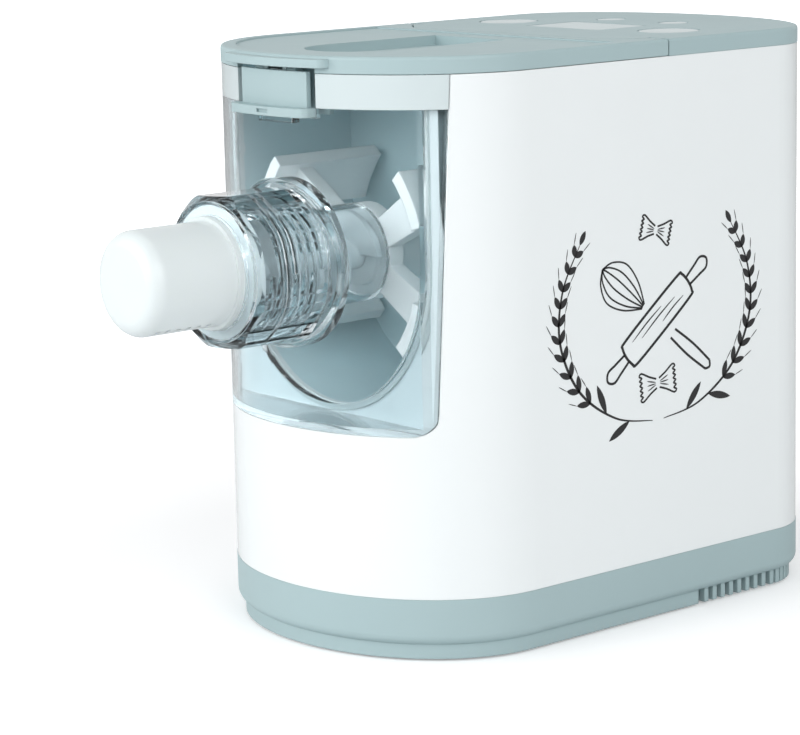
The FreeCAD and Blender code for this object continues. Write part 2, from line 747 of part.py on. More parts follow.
def make_motor():
    can = disc_y(motor_radius, motor_front, motor_rear, 0, motor_height)
    can = can.cut(disc_y(motor_radius - motor_wall, motor_front + motor_wall, motor_rear + 1, 0, motor_height))
    can = can.cut(disc_y(6.0 + running_gap, motor_front - 1, motor_rear, 0, motor_height))
    slots = []
    for step in range(4):
        slot = box(motor_radius - 5, motor_radius + 5, motor_rear - 26, motor_rear - 12,
                   motor_height - 4, motor_height + 4)
        slot.rotate(V(0, 0, motor_height), V(0, 1, 0), 45 + 90 * step)
        slots.append(slot)
    can = can.cut(slots[0].fuse(slots[1:]))
    save("motor_can", can)
    cap = disc_y(motor_radius, motor_rear, motor_rear + 4, 0, motor_height)
    cap = cap.fuse(disc_y(9.0, motor_rear + 3, motor_rear + 8, 0, motor_height))
    cap = cap.cut(disc_y(6.0 + running_gap, motor_rear - 1, motor_rear + 9, 0, motor_height))
    save("motor_cap", cap.removeSplitter())
    front_bush = ring_y(6.0, motor_shaft_radius + running_gap, motor_front, motor_front + 5, 0, motor_height)
    rear_bush = ring_y(6.0, motor_shaft_radius + running_gap, motor_rear + 1, motor_rear + 8, 0, motor_height)
    save("motor_bushes", group([front_bush, rear_bush]))
    magnets = ring_y(motor_radius - motor_wall - running_gap, 27.0, motor_front + 10, motor_front + 52, 0, motor_height)
    magnets = magnets.cut(box(-4, 4, motor_front, motor_rear, motor_height - 50, motor_height + 50))
    save("motor_magnets", group(magnets.Solids))
    shaft = disc_y(motor_shaft_radius, second_y - 1, motor_rear + 20, 0, motor_height)
    core = disc_y(24.0, motor_front + 12, motor_front + 50, 0, motor_height)
    commutator = disc_y(9.0, motor_front + 54, motor_front + 66, 0, motor_height)
    neck = disc_y(5.0, motor_front + 49, motor_front + 55, 0, motor_height)
    rotor = fused([core, commutator, neck, shaft])
    slots = []
    for step in range(10):
        slot = box(14, 26, motor_front + 11, motor_front + 51, motor_height - 1.2, motor_height + 1.2)
        slot.rotate(V(0, 0, motor_height), V(0, 1, 0), 36 * step)
        slots.append(slot)
    save("motor_rotor", rotor.cut(slots[0].fuse(slots[1:])))
    fan_y = motor_rear + 11
    hub = ring_y(8.0, motor_shaft_radius + running_gap / 2, fan_y, fan_y + 8, 0, motor_height)
    plate = ring_y(fan_radius, motor_shaft_radius + running_gap / 2, fan_y, fan_y + 1.6, 0, motor_height)
    blades = []
    for step in range(fan_blades):
        blade = box(7, fan_radius, fan_y + 1, fan_y + 8, motor_height - 0.8, motor_height + 0.8)
        blade.rotate(V(0, 0, motor_height), V(0, 1, 0), 360.0 * step / fan_blades)
        blades.append(blade)
    save("cooling_fan", fused([hub, plate] + blades))
    saddle_low = plinth_height + tray_wall
    bracket = []
    for y in (motor_front + 14, motor_rear - 14):
        leg = box(-26, 26, y - 3, y + 3, saddle_low, motor_height)
        leg = leg.cut(disc_y(motor_radius + strap_thickness + running_gap, y - 4, y + 4, 0, motor_height))
        bracket.append(leg)
    bracket.append(box(-26, 26, motor_front + 11, motor_rear - 11, saddle_low, saddle_low + 4))
    save("motor_bracket", fused(bracket))
    strap = []
    for y in (motor_front + 14, motor_rear - 14):
        strap.append(ring_y(motor_radius + strap_thickness, motor_radius + running_gap, y - 4, y + 4,
                            0, motor_height))
    save("motor_straps", group(strap))


# Lid, hinge pins and rear panel
def lid_zone(gap):
    """Plan area of the lid as a prism, with its rear seam moved by gap."""
    z = casing_top - 1
    horn_x = lid_horn_x - gap
    right = [
        V(lid_notch_x, lid_seam_y + gap, z),
        V(horn_x, lid_horn_turn + gap, z),
        V(horn_x, lid_horn_y + gap, z),
        V(150, lid_horn_y + gap, z),
        V(150, -300, z),
    ]
    left = [V(-p.x, p.y, p.z) for p in reversed(right)]
    return polygon_prism(left + right, V(0, 0, rim_height + 2))


def rounded_top(inset):
    block = plan_prism(inset, casing_top, body_height)
    top_edges = [e for e in block.Edges if e.BoundBox.ZMin > body_height - 0.01]
    return block.makeFillet(1.6, top_edges)


def stadium_slot(half_width, y0, y1, z0, z1):
    middle = box(-half_width, half_width, y0 + half_width, y1, z0, z1)
    return middle.fuse(disc_z(half_width, z0, z1, 0, y0 + half_width)).removeSplitter()


def make_lid():
    block = rounded_top(0)
    dish = plan_prism(lid_dish_margin, body_height - lid_dish, body_height + 1)
    dish = dish.common(box(-150, 150, -300, lid_seam_y - lid_dish_margin, 0, 400))
    block = block.common(lid_zone(0)).cut(dish)
    hollow = plan_prism(rim_wall, casing_top - 1, body_height - lid_dish - lid_skin)
    hollow = hollow.common(box(-150, 150, -300, lid_seam_y - 4, 0, 400))
    tub_outer = stadium_slot(pour_half_width + 2, pour_front - 2, pour_rear + 2, casing_top, body_height - lid_dish)
    hollow = hollow.cut(tub_outer)
    lid = block.cut(hollow)
    tub = stadium_slot(pour_half_width, pour_front, pour_rear, body_height - pour_depth, body_height + 1)
    lid = lid.cut(tub)
    for slot in range(pour_slots):
        x = (slot - (pour_slots - 1) / 2) * 2 * pour_slot_width
        lid = lid.cut(box(x - pour_slot_width / 2, x + pour_slot_width / 2, pour_front + 26, chamber_back - 4,
                          casing_top - 1, body_height))
    above_pin = box(-150, 150, hinge_y, 50, hinge_z, body_height + 1)
    lid = lid.cut(above_pin.cut(disc_x(hinge_radius, -150, 150, hinge_y, hinge_z)))
    below_pin = box(-150, 150, hinge_y, 50, casing_top - 1, hinge_z)
    lid = lid.cut(below_pin.cut(disc_x(hinge_z - casing_top, -150, 150, hinge_y, hinge_z)))
    lip = plan_prism(-lip_reach, casing_top + lip_low, casing_top + lip_low + lip_thickness)
    lip = lip.common(box(-lip_half_width, lip_half_width, -300, -150, 0, 400))
    corner_edges = [e for e in lip.Edges if abs(e.BoundBox.ZLength) > 1 and e.BoundBox.XLength < 0.01
                    and e.BoundBox.YMax < -155]
    lip = lip.makeFillet(4.0, corner_edges)
    lip = lip.cut(plan_prism(1.0, 0, 400))
    lid = lid.fuse(lip)
    skin_middle = body_height - lid_dish - lid_skin / 2
    tongue = plan_ring(tongue_inset, tongue_wall, notch_bottom + 1.0, skin_middle)
    tongue = tongue.common(box(-notch_half_width + 1.5, notch_half_width - 1.5, -300, -120, 0, 400))
    ears = [box(x - 1.5, x + 1.5, latch_pin_y - 2.6, latch_pin_y + 5, latch_pin_z - 3.0, skin_middle)
            for x in (-7.5, 7.5)]
    lid = lid.fuse([tongue] + ears)
    lid = lid.cut(disc_x(latch_pin_radius + running_gap, -10, 10, latch_pin_y, latch_pin_z))
    pocket = box(-lip_half_width + 8, lip_half_width - 8, -300, latch_pin_y + 3.4,
                 casing_top - 1, casing_top + lip_low)
    pocket = pocket.cut(fused(ears))
    lid = lid.cut(pocket)
    for sign in (-1, 1):
        x0, x1 = sorted((sign * (lid_horn_x - 5), sign * (pin_outer + 0.2)))
        lid = lid.cut(disc_x(hinge_pin_radius + running_gap, x0, x1, hinge_y, hinge_z))
    save("front_lid", lid.removeSplitter())

    pins = [disc_x(hinge_pin_radius, pin_inner, pin_outer, hinge_y, hinge_z)]
    save("lid_hinge_pins", group(pins + [mirrored(pins[0])]))


def make_rear_panel():
    block = rounded_top(0)
    low_gap = plan_prism(0, casing_top - seat_gap, casing_top + 0.1)
    block = block.fuse(low_gap).removeSplitter()
    block = block.cut(lid_zone(lid_seam_gap))
    block = block.cut(box(-150, 150, -300, lid_seam_y + lid_seam_gap, 0, 400))
    skirt_inset = casing_wall + slide_gap
    hollow = plan_prism(skirt_inset + skirt_wall, casing_top - 1, body_height - rim_wall)
    hollow = hollow.common(box(-150, 150, hinge_y + 10, 300, 0, 400))
    panel = block.cut(hollow)
    skirt = plan_ring(skirt_inset, skirt_wall, casing_top - 6, casing_top + 1)
    skirt = skirt.common(box(-150, 150, hinge_y + 12, 300, 0, 400))
    panel = panel.fuse(skirt)
    for sign in (-1, 1):
        panel = panel.cut(disc_z(button_radius + slide_gap, casing_top - 1, body_height + 1, sign * button_x, button_y))
        panel = panel.cut(disc_z(small_button_radius + slide_gap, casing_top - 1, body_height + 1,
                                 sign * small_button_x, small_button_y))
        x0, x1 = sorted((sign * (pin_inner - 0.2), sign * (lid_horn_x + 5)))
        panel = panel.cut(disc_x(hinge_pin_radius + running_gap, x0, x1, hinge_y, hinge_z))
    window = box(-display_half_width - slide_gap / 3, display_half_width + slide_gap / 3,
                 button_y - display_half_depth - slide_gap / 3, button_y + display_half_depth + slide_gap / 3,
                 body_height - display_thickness, body_height + 1)
    opening = box(-display_half_width + 3, display_half_width - 3, button_y - display_half_depth + 3,
                  button_y + display_half_depth - 3, casing_top - 1, body_height + 1)
    panel = panel.cut(window).cut(opening)
    bosses = []
    for x, y in board_screw_places():
        boss = disc_z(4.0, board_top, body_height - rim_wall + 0.5, x, y)
        bosses.append(boss.cut(disc_z(screw_radius + running_gap, board_top - 1, board_top + 6, x, y)))
    panel = panel.fuse(bosses)
    save("rear_panel", panel.removeSplitter())
    glass = box(-display_half_width, display_half_width, button_y - display_half_depth, button_y + display_half_depth,
                body_height - display_thickness, body_height - 0.1)
    save("display_window", glass)


# Buttons, their domes and the control board under the panel
def board_screw_places():
    return [(x, y) for x in (-38.0, 38.0) for y in (24.0, 112.0)]


def button(radius, x, y):
    cap = disc_z(radius, body_height - 0.1 - button_cap - 2, body_height - 0.1, x, y)
    top_edges = [e for e in cap.Edges if e.BoundBox.ZMin > body_height - 0.2]
    cap = cap.makeFillet(0.8, top_edges)
    flange = disc_z(radius + 1.2, body_height - rim_wall - 2.3 - slide_gap, body_height - rim_wall - slide_gap, x, y)
    stem = disc_z(2.5, board_top + stem_length, body_height - 4, x, y)
    return fused([cap, flange, stem])


button_places = {
    "power_button": (button_radius, button_x, button_y),
    "start_button": (button_radius, -button_x, button_y),
    "mode_button": (small_button_radius, -small_button_x, small_button_y),
    "weight_button": (small_button_radius, small_button_x, small_button_y),
}


def make_controls():
    domes = []
    for name, (radius, x, y) in button_places.items():
        save(name, button(radius, x, y))
        dome = disc_z(4.5, board_top, board_top + stem_length - button_travel - 0.2, x, y)
        domes.append(dome.fuse(disc_z(2.0, board_top, board_top + stem_length - button_travel - 0.1, x, y)).removeSplitter())
    save("switch_domes", group(domes))
    board = box(-80, 80, 16, 120, board_top - board_thickness, board_top)
    board = board.common(plan_prism(12, board_top - 5, board_top + 5))
    screws = []
    for x, y in board_screw_places():
        board = board.cut(disc_z(screw_radius + running_gap, board_top - 5, board_top + 5, x, y))
        head = disc_z(screw_head, board_top - board_thickness - 2, board_top - board_thickness, x, y)
        screws.append(head.fuse(disc_z(screw_radius, board_top - board_thickness - 1, board_top + 5, x, y)).removeSplitter())
    save("control_board", board)
    save("board_screws", group(screws))
    screen_low = board_top
    screen = box(-display_half_width + 4, display_half_width - 4, button_y - display_half_depth + 4,
                 button_y + display_half_depth - 4, screen_low, body_height - display_thickness - 0.2)
    save("display_screen", screen)


# Latch handle on the lid's front lip
def make_latch():
    web = plan_ring(0, latch_thickness, latch_bottom, casing_top + 0.5)
    web = web.common(box(-latch_half_width, latch_half_width, -300, -120, 0, 400))
    flange = plan_ring(-latch_flange_reach, latch_flange_reach + latch_thickness, latch_bottom,
                       latch_bottom + latch_flange_height)
    flange = flange.common(box(-latch_flange_half, latch_flange_half, -300, -120, 0, 400))
    corner_edges = [e for e in flange.Edges if e.BoundBox.ZLength > 1 and e.BoundBox.XLength < 0.01
                    and e.BoundBox.YMax < front_edge(latch_flange_half) - 2]
    flange = flange.makeFillet(4.0, corner_edges)
    slot = box(-3.5, 5.0, front_edge(0) - latch_flange_reach - 1, front_edge(0) - latch_flange_reach + 1.2,
               latch_bottom + 1.6, latch_bottom + 3.2)
    flange = flange.cut(slot)
    knuckles = []
    for sign in (-1, 1):
        x0, x1 = sorted((sign * 9.4, sign * 16.0))
        web_y = front_edge(12.7) + latch_thickness
        knuckles.append(disc_x(2.8, x0, x1, latch_pin_y, latch_pin_z))
        knuckles.append(box(x0, x1, web_y - 1.0, latch_pin_y, latch_pin_z - 2.8, latch_pin_z))
    hook = box(-hook_half_width, hook_half_width, front_edge(hook_half_width) + 1.0, hook_rear,
               latch_bottom + 0.3, latch_bottom + 2.3)
    tooth = box(-hook_half_width, hook_half_width, hook_rear - 1.5, hook_rear, latch_bottom + 0.3, latch_bottom + 3.8)
    latch = fused([web, flange, hook, tooth] + knuckles)
    latch = latch.cut(disc_x(latch_pin_radius + running_gap, -20, 20, latch_pin_y, latch_pin_z))
    latch = latch.cut(box(-9.3, 9.3, front_edge(0) + latch_thickness, -150, latch_pin_z - 6, body_height))
    save("latch_handle", latch.removeSplitter())
    pin = disc_x(latch_pin_radius, -16.0, 16.0, latch_pin_y, latch_pin_z)
    save("latch_pin", pin)
    spring = disc_x(2.2, -5.4, 5.4, latch_pin_y, latch_pin_z)
    spring = spring.cut(disc_x(latch_pin_radius + running_gap, -10, 10, latch_pin_y, latch_pin_z))
    save("latch_spring", spring)


# Mains board on the base and the switch that the closed lid presses
def make_electrics():
    floor = plinth_height + tray_wall
    left = 13 - side_x
    right = left + 54
    low = floor + 6
    top = low + board_thickness
    board = box(left, right, -60, 60, low, top)
    pillars = []
    for x in (left + 4, right - 4):
        for y in (-56.0, 56.0):
            pillars.append(disc_z(3.0, floor, low, x, y))
    save("power_board", board)
    save("board_pillars", group(pillars))
    capacitor = disc_z(9.0, top, floor + 36, left + 18, 20)
    relay = box(left + 8, left + 28, -40, -14, top, floor + 24)
    choke = box(left + 32, left + 48, -30, 0, top, floor + 28)
    save("board_components", group([capacitor, relay, choke]))
    deck_low = casing_top - seat_gap - 3.0
    body = box(side_x - 19, side_x - 11, -40, -20, deck_low - 10, deck_low)
    save("lid_switch", body)


make_casing()
make_inlet()
make_base()
make_bottom()
make_chamber()
make_cover()
make_die()
make_nut()
make_shaft()
make_gearbox()
make_gears()
make_motor()
make_lid()
make_rear_panel()
make_controls()
make_latch()
make_electrics()

boxes = [shape.BoundBox for shape in parts.values()]
middle_y = (min(b.YMin for b in boxes) + max(b.YMax for b in boxes)) / 2
os.makedirs("parts", exist_ok=True)
for name, shape in parts.items():
    if not shape.isValid() or not shape.Solids:
        print("invalid", name)
    placed = shape.translated(V(0, -middle_y, 0))
    placed.exportStep("parts/" + name + ".step")
print("pieces", len(parts), "shift", round(-middle_y, 3))
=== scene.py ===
import json
import math

import bmesh
import bpy
from mathutils import Matrix, Vector


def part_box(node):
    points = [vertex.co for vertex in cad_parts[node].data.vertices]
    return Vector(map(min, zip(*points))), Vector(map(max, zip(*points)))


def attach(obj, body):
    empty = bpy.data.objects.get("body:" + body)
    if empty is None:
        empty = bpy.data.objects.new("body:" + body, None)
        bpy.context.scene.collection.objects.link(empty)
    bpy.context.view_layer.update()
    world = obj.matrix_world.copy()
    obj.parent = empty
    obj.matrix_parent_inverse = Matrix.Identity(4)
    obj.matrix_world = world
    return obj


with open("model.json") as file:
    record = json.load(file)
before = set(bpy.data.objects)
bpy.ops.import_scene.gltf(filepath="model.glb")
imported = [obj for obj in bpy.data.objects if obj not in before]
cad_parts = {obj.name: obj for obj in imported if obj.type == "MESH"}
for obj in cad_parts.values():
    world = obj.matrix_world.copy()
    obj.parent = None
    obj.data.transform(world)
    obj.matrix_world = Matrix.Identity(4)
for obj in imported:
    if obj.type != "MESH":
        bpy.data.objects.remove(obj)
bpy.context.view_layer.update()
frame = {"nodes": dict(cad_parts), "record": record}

MM = 0.001
# The straight sides of the casing are centred this far behind the frame's origin
BODY_SHIFT = 57.35 * MM
SIDE_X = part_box("outer_casing")[1].x

# Noise values between these two are stretched over a material's own range
NOISE_LOW = 0.3
NOISE_HIGH = 0.7
BROAD_SCALE = 14.0
PATCH_SCALE = 55.0
CLEAR_PATCH_SCALE = 25.0
BEVEL_SAMPLES = 4
SHARP_ANGLE = 28

# The floor lies just under the feet and glows for the camera from near to far
FLOOR_HALF = 30.0
FLOOR_DROP = 0.0002
GLOW_NEAR = {"distance": 0.25, "strength": 0.3}
GLOW_FAR = {"distance": 1.2, "strength": 1.0}

# Levels of the world light: on matt surfaces, and for gloss and glass overhead
AMBIENT = 0.5
SKY_OVERHEAD = 0.65
SKY_START = 0.1
SKY_END = 0.75


def linear(value):
    """One sRGB level from 0 to 255 as a linear value."""
    share = value / 255
    return share / 12.92 if share <= 0.04045 else ((share + 0.055) / 1.055) ** 2.4


def colour(red, green, blue):
    return (linear(red), linear(green), linear(blue), 1.0)


def scaled(rgba, factor):
    return tuple(min(1.0, c * factor) for c in rgba[:3]) + (1.0,)


# Materials

def new_material(name):
    material = bpy.data.materials.new(name)
    material.use_nodes = True
    nodes = material.node_tree.nodes
    return material, nodes, material.node_tree.links, nodes["Principled BSDF"]


def noise(nodes, links, place, scale, detail=3.0, roughness=0.55):
    texture = nodes.new("ShaderNodeTexNoise")
    texture.inputs["Scale"].default_value = scale
    texture.inputs["Detail"].default_value = detail
    texture.inputs["Roughness"].default_value = roughness
    links.new(place.outputs["Object"], texture.inputs["Vector"])
    return texture


def remap(nodes, links, source, low, high):
    mapping = nodes.new("ShaderNodeMapRange")
    mapping.inputs["From Min"].default_value = NOISE_LOW
    mapping.inputs["From Max"].default_value = NOISE_HIGH
    mapping.inputs["To Min"].default_value = low
    mapping.inputs["To Max"].default_value = high
    links.new(source, mapping.inputs["Value"])
    return mapping.outputs["Result"]


def rounded_bump(nodes, links, shader, height, edge, depth):
    """Softens the edges by a radius and raises the surface by a depth, both in millimetres."""
    bevel = nodes.new("ShaderNodeBevel")
    bevel.samples = BEVEL_SAMPLES
    bevel.inputs["Radius"].default_value = edge * MM
    bump = nodes.new("ShaderNodeBump")
    bump.inputs["Strength"].default_value = 1.0
    bump.inputs["Distance"].default_value = depth * MM
    links.new(height.outputs["Fac"], bump.inputs["Height"])
    links.new(bevel.outputs["Normal"], bump.inputs["Normal"])
    links.new(bump.outputs["Normal"], shader.inputs["Normal"])


def moulded(name, rgba, rough, grain=900.0, depth=0.02, mottle=0.025, edge=0.5, coat=0.0, metal=0.0,
            spread=0.05, under=0.0):
    """A moulded or machined surface with mottled colour, uneven gloss, fine grain and softened edges."""
    material, nodes, links, shader = new_material(name)
    place = nodes.new("ShaderNodeTexCoord")
    broad = noise(nodes, links, place, BROAD_SCALE)
    mix = nodes.new("ShaderNodeMix")
    mix.data_type = "RGBA"
    mix.inputs["A"].default_value = scaled(rgba, 1 - mottle)
    mix.inputs["B"].default_value = scaled(rgba, 1 + mottle)
    links.new(remap(nodes, links, broad.outputs["Fac"], 0.0, 1.0), mix.inputs["Factor"])
    links.new(mix.outputs["Result"], shader.inputs["Base Color"])
    patches = noise(nodes, links, place, PATCH_SCALE, 4.0)
    links.new(remap(nodes, links, patches.outputs["Fac"], rough - spread / 2, rough + spread / 2),
              shader.inputs["Roughness"])
    fine = noise(nodes, links, place, grain, 2.0)
    rounded_bump(nodes, links, shader, fine, edge, depth)
    shader.inputs["Metallic"].default_value = metal
    shader.inputs["Coat Weight"].default_value = coat
    shader.inputs["Coat Roughness"].default_value = 0.06
    shader.inputs["Subsurface Weight"].default_value = under
    shader.inputs["Subsurface Radius"].default_value = (0.004, 0.004, 0.005)
    return material


def clear(name, rgba, rough, grain=30.0, depth=0.15, edge=0.6, shade=0.92, bend=1.46, gloss=0.5):
    """Clear moulded plastic that bends light, and lets the lamps reach what is behind it."""
    material, nodes, links, shader = new_material(name)
    place = nodes.new("ShaderNodeTexCoord")
    shader.inputs["Base Color"].default_value = rgba
    shader.inputs["Transmission Weight"].default_value = 1.0
    shader.inputs["IOR"].default_value = bend
    shader.inputs["Specular IOR Level"].default_value = gloss
    patches = noise(nodes, links, place, CLEAR_PATCH_SCALE)
    uneven = remap(nodes, links, patches.outputs["Fac"], rough * 0.6, rough * 1.4)
    links.new(uneven, shader.inputs["Roughness"])
    waves = noise(nodes, links, place, grain, 1.0)
    rounded_bump(nodes, links, shader, waves, edge, depth)
    path = nodes.new("ShaderNodeLightPath")
    passing = nodes.new("ShaderNodeBsdfTransparent")
    passing.inputs["Color"].default_value = (shade, shade * 1.005, shade * 1.01, 1)
    mix = nodes.new("ShaderNodeMixShader")
    links.new(path.outputs["Is Shadow Ray"], mix.inputs["Fac"])
    links.new(shader.outputs[0], mix.inputs[1])
    links.new(passing.outputs[0], mix.inputs[2])
    links.new(mix.outputs[0], nodes["Material Output"].inputs["Surface"])
    return material


def make_materials():
    """Colour, roughness and further values of each finish, by the record's slot names."""
    white = colour(236, 241, 242)
    grey = colour(164, 186, 189)
    finishes = {
        "casing_white": (white, 0.22, dict(coat=0.35, depth=0.006, mottle=0.006, spread=0.03)),
        "trim_grey": (grey, 0.48, dict(coat=0.0, depth=0.012, mottle=0.015, edge=0.7)),
        "band_grey": (colour(204, 216, 218), 0.2, dict(coat=0.5, depth=0.008, mottle=0.015)),
        "frame_white": (colour(222, 229, 231), 0.35, dict(mottle=0.02)),
        "chamber_grey": (colour(192, 215, 220), 0.32, dict(coat=0.2, mottle=0.03)),
        "silicone": (colour(190, 200, 201), 0.55, dict(depth=0.03, mottle=0.03, under=0.15)),
        "rubber": (colour(38, 38, 40), 0.75, dict(depth=0.05, mottle=0.08)),
        "die_white": (colour(222, 230, 231), 0.34,
                      dict(coat=0.15, depth=0.01, mottle=0.01, edge=0.8, under=0.15)),
        "paddle_white": (colour(238, 242, 243), 0.3, dict(coat=0.2, mottle=0.02, edge=1.2)),
        "steel": (colour(196, 198, 200), 0.28, dict(grain=2500.0, depth=0.01, metal=1.0, mottle=0.05)),
        "zinc_steel": (colour(202, 205, 208), 0.4, dict(grain=1200.0, metal=1.0, mottle=0.08)),
        "rotor_steel": (colour(150, 150, 152), 0.45, dict(grain=2000.0, metal=1.0, mottle=0.1)),
        "brass": (colour(214, 178, 110), 0.3, dict(grain=2000.0, metal=1.0, mottle=0.06)),
        "bronze": (colour(176, 132, 84), 0.5, dict(grain=1500.0, metal=1.0, mottle=0.1)),
        "nylon": (colour(236, 230, 214), 0.42, dict(mottle=0.03, under=0.2)),
        "magnet": (colour(60, 60, 63), 0.6, dict(depth=0.04, mottle=0.12)),
        "black_plastic": (colour(34, 35, 37), 0.5, dict(depth=0.04, mottle=0.08)),
        "display_glass": (grey, 0.3, dict(coat=0.2, depth=0.008, mottle=0.012)),
        "display_dark": (colour(12, 14, 16), 0.25, dict(mottle=0.1)),
        "button_grey": (colour(166, 186, 189), 0.3, dict(coat=0.25, mottle=0.015, edge=0.6)),
        "board_green": (colour(28, 98, 58), 0.35, dict(coat=0.4, mottle=0.06)),
        "print_ink": (colour(24, 24, 26), 0.5, dict(depth=0.01, mottle=0.12, edge=0.02)),
        "component_black": (colour(30, 30, 32), 0.45, dict(mottle=0.1)),
    }
    materials = {}
    for name, (rgba, rough, options) in finishes.items():
        materials[name] = moulded(name, rgba, rough, **options)
    materials["clear_plastic"] = clear("clear_plastic", colour(240, 247, 249),
                                       0.04, bend=1.28, gloss=0.9)
    materials["clear_nut"] = clear("clear_nut", colour(238, 246, 249),
                                   0.02, grain=60.0, edge=0.8, bend=1.38, gloss=0.7)
    return materials


def dress_nodes(materials):
    """Gives every carried-over CAD node its finish, with smooth curved faces."""
    slots = {part["node"]: part["material_slot"] for part in frame["record"]["subparts"]}
    for name, node in frame["nodes"].items():
        material = materials[slots[name]]
        for slot in node.material_slots:
            slot.material = material
        if not node.material_slots:
            node.data.materials.append(material)
        node.data.shade_smooth()
        node.data.set_sharp_from_angle(angle=math.radians(SHARP_ANGLE))


# Stage

def make_floor():
    mesh = bpy.data.meshes.new("floor")
    corners = []
    for x, y in ((-1, -1), (1, -1), (1, 1), (-1, 1)):
        corners.append((x * FLOOR_HALF, y * FLOOR_HALF, -FLOOR_DROP))
    mesh.from_pydata(corners, [], [(0, 1, 2, 3)])
    floor = bpy.data.objects.new("floor", mesh)
    bpy.context.collection.objects.link(floor)
    material, nodes, links, shader = new_material("floor_white")
    shader.inputs["Base Color"].default_value = (0.82, 0.83, 0.84, 1)
    shader.inputs["Roughness"].default_value = 0.8
    output = nodes["Material Output"]
    path = nodes.new("ShaderNodeLightPath")
    glow = nodes.new("ShaderNodeEmission")
    glow.inputs["Color"].default_value = (1, 1, 1, 1)
    place = nodes.new("ShaderNodeTexCoord")
    far = nodes.new("ShaderNodeVectorMath")
    far.operation = "LENGTH"
    links.new(place.outputs["Object"], far.inputs[0])
    rise = nodes.new("ShaderNodeMapRange")
    rise.inputs["From Min"].default_value = GLOW_NEAR["distance"]
    rise.inputs["From Max"].default_value = GLOW_FAR["distance"]
    rise.inputs["To Min"].default_value = GLOW_NEAR["strength"]
    rise.inputs["To Max"].default_value = GLOW_FAR["strength"]
    links.new(far.outputs["Value"], rise.inputs["Value"])
    strength = nodes.new("ShaderNodeMath")
    strength.operation = "MULTIPLY"
    links.new(path.outputs["Is Camera Ray"], strength.inputs[0])
    links.new(rise.outputs["Result"], strength.inputs[1])
    links.new(strength.outputs[0], glow.inputs["Strength"])
    add = nodes.new("ShaderNodeAddShader")
    links.new(shader.outputs[0], add.inputs[0])
    links.new(glow.outputs[0], add.inputs[1])
    links.new(add.outputs[0], output.inputs["Surface"])
    mesh.materials.append(material)


def make_world():
    """White all round for the eye, and a plain sky that is darker overhead for gloss and glass."""
    world = bpy.data.worlds.new("studio")
    bpy.context.scene.world = world
    world.use_nodes = True
    nodes, links = world.node_tree.nodes, world.node_tree.links
    background = nodes["Background"]
    path = nodes.new("ShaderNodeLightPath")

    def math_node(operation, first, second):
        node = nodes.new("ShaderNodeMath")
        node.operation = operation
        node.use_clamp = True
        for socket, value in zip(node.inputs, (first, second)):
            if isinstance(value, float):
                socket.default_value = value
            else:
                links.new(value, socket)
        return node.outputs[0]

    direct = math_node("LESS_THAN", path.outputs["Diffuse Depth"], 0.5)
    mirrored = math_node("ADD", path.outputs["Is Glossy Ray"], path.outputs["Is Transmission Ray"])
    mirrored = math_node("MULTIPLY", mirrored, direct)
    place = nodes.new("ShaderNodeTexCoord")
    split = nodes.new("ShaderNodeSeparateXYZ")
    links.new(place.outputs["Generated"], split.inputs[0])
    sky = nodes.new("ShaderNodeMapRange")
    sky.inputs["From Min"].default_value = SKY_START
    sky.inputs["From Max"].default_value = SKY_END
    sky.inputs["To Min"].default_value = 1.0
    sky.inputs["To Max"].default_value = SKY_OVERHEAD
    links.new(split.outputs["Z"], sky.inputs["Value"])
    glossy_level = nodes.new("ShaderNodeMix")
    glossy_level.inputs["A"].default_value = AMBIENT
    links.new(mirrored, glossy_level.inputs["Factor"])
    links.new(sky.outputs["Result"], glossy_level.inputs["B"])
    level = nodes.new("ShaderNodeMix")
    level.inputs["B"].default_value = 1.0
    links.new(path.outputs["Is Camera Ray"], level.inputs["Factor"])
    links.new(glossy_level.outputs["Result"], level.inputs["A"])
    background.inputs["Color"].default_value = (1, 1, 1, 1)
    links.new(level.outputs["Result"], background.inputs["Strength"])


# Metres and watts
LAMP_AIM = (0, 0, 0.15)
LAMPS = {
    "key": {"place": (2.2, -0.5, 1.5), "size": (1.8, 1.8), "power": 23.0},
    "front": {"place": (-0.3, -2.4, 1.2), "size": (1.2, 1.2), "power": 20.0},
    "top": {"place": (0.1, 0.3, 2.4), "size": (1.6, 1.6), "power": 2.5},
    "right_strip": {"place": (1.5, -1.5, 1.1), "size": (0.10, 1.2), "power": 5.0},
    "left_strip": {"place": (-1.2, -1.6, 0.7), "size": (0.4, 1.2), "power": 11.0},
}


def make_lamps():
    for name, lamp in LAMPS.items():
        data = bpy.data.lights.new(name, "AREA")
        data.shape = "RECTANGLE"
        data.size, data.size_y = lamp["size"]
        data.energy = lamp["power"]
        light = bpy.data.objects.new(name, data)
        bpy.context.collection.objects.link(light)
        light.location = lamp["place"]
        aim = Vector(LAMP_AIM) - light.location
        light.rotation_euler = aim.to_track_quat("-Z", "Y").to_euler()


# Line decoration on the flat right-hand side, with its middle at (y, z) in metres

PRINT_LOW = SIDE_X + 0.03 * MM
PRINT_HIGH = PRINT_LOW + 0.08 * MM
PRINT_CENTRE = (BODY_SHIFT - 2 * MM, 158 * MM)


def curve_points(points, steps=10):
    """Points along a smooth curve through the given ones."""
    out = []
    for i in range(len(points) - 1):
        p0 = Vector(points[max(i - 1, 0)])
        p1 = Vector(points[i])
        p2 = Vector(points[i + 1])
        p3 = Vector(points[min(i + 2, len(points) - 1)])
        for step in range(steps):
            t = step / steps
            out.append(0.5 * ((2 * p1) + (p2 - p0) * t + (2 * p0 - 5 * p1 + 4 * p2 - p3) * t * t
                              + (3 * p1 - p0 - 3 * p2 + p3) * t ** 3))
    out.append(Vector(points[-1]))
    return out


